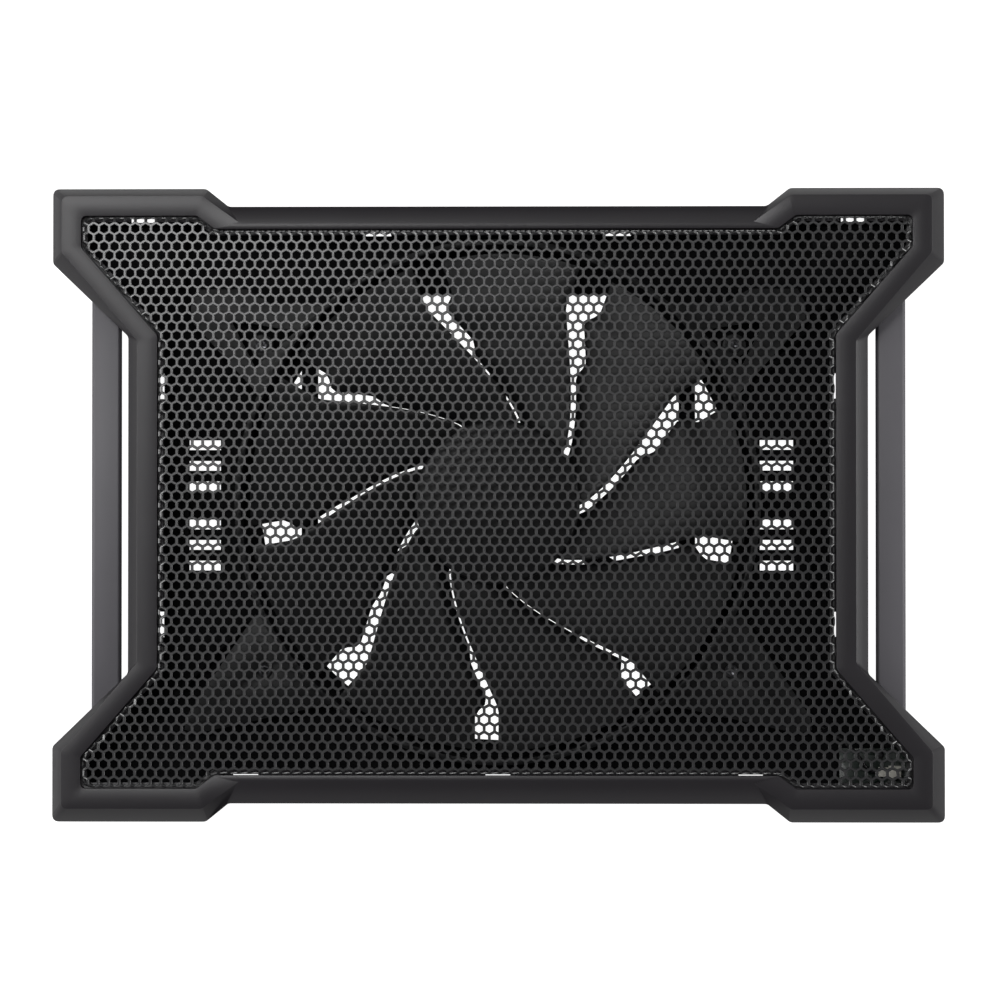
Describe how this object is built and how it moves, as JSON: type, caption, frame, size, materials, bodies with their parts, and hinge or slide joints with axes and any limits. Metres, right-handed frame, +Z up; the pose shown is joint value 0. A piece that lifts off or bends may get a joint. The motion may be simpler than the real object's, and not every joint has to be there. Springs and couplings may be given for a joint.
{
  "type": "laptop cooling pad",
  "caption": "Low four-winged laptop stand with a perforated steel top over one large slim fan, fold-out rear legs and a side power socket.",
  "frame": {"origin": "middle of the table plane under the pad, at the height of the rubber feet's lower faces", "axes": "+X to the user's right along the long side, +Y to the rear, +Z up through the mesh top"},
  "size_m": [0.38, 0.27, 0.0284],
  "materials": {
    "casing": "fine satin texture, black",
    "base": "matte texture, black",
    "mesh": "satin black powder coat",
    "rotor": "smooth semi-gloss, black",
    "steel": "bright steel",
    "screw_steel": "black zinc",
    "magnet": "bonded ferrite",
    "bronze": "sintered bronze",
    "copper": "enamelled copper wire",
    "board": "very dark green solder mask",
    "rubber": "matte black rubber",
    "nylon": "natural nylon",
    "lead_sleeve": "shiny black sleeve"
  },
  "bodies": {
    "case": {"base_tray": "base", "top_frame": "casing", "mesh_panel": "mesh", "left_side_bar": "casing", "right_side_bar": "casing", "fan_frame": "rotor", "bearing_sleeve": "bronze", "stator_core": "steel", "stator_coil_1": "copper", "stator_coil_2": "copper", "stator_coil_3": "copper", "stator_coil_4": "copper", "motor_board": "board", "fan_screw_1": "screw_steel", "fan_screw_2": "screw_steel", "fan_screw_3": "screw_steel", "fan_screw_4": "screw_steel", "case_screw_1": "screw_steel", "case_screw_2": "screw_steel", "case_screw_3": "screw_steel", "case_screw_4": "screw_steel", "case_screw_5": "screw_steel", "case_screw_6": "screw_steel", "case_screw_7": "screw_steel", "front_foot_left": "rubber", "front_foot_right": "rubber", "rear_foot_left": "rubber", "rear_foot_right": "rubber", "left_leg_pin": "steel", "right_leg_pin": "steel", "control_board": "board", "board_screw_1": "screw_steel", "board_screw_2": "screw_steel", "usb_port": "steel", "power_inlet": "steel", "switch_body": "steel", "lead_header": "nylon", "lead_plug": "nylon", "fan_lead": "lead_sleeve"},
    "fan": {"fan_rotor": "rotor", "rotor_yoke": "steel", "rotor_magnet": "magnet", "rotor_shaft": "steel", "shaft_clip": "nylon"},
    "left_leg": {"left_leg": "casing", "left_leg_tip": "rubber"},
    "right_leg": {"right_leg": "casing", "right_leg_tip": "rubber"},
    "knob": {"switch_knob": "rotor"}
  },
  "joints": [
    {"name": "fan_spin", "type": "hinge", "parent": "case", "child": "fan", "pos_m": [0, 0.0012, 0.015], "axis": [0, 0, 1], "continuous": true},
    {"name": "left_leg_fold", "type": "hinge", "parent": "case", "child": "left_leg", "pos_m": [-0.155, 0.1136, 0.0059], "axis": [1, 0, 0], "range_deg": [0, 100]},
    {"name": "right_leg_fold", "type": "hinge", "parent": "case", "child": "right_leg", "pos_m": [0.155, 0.1136, 0.0059], "axis": [1, 0, 0], "range_deg": [0, 100]},
    {"name": "switch_slide", "type": "slide", "parent": "case", "child": "knob", "axis": [1, 0, 0], "range_m": [0, 0.003]}
  ]
}
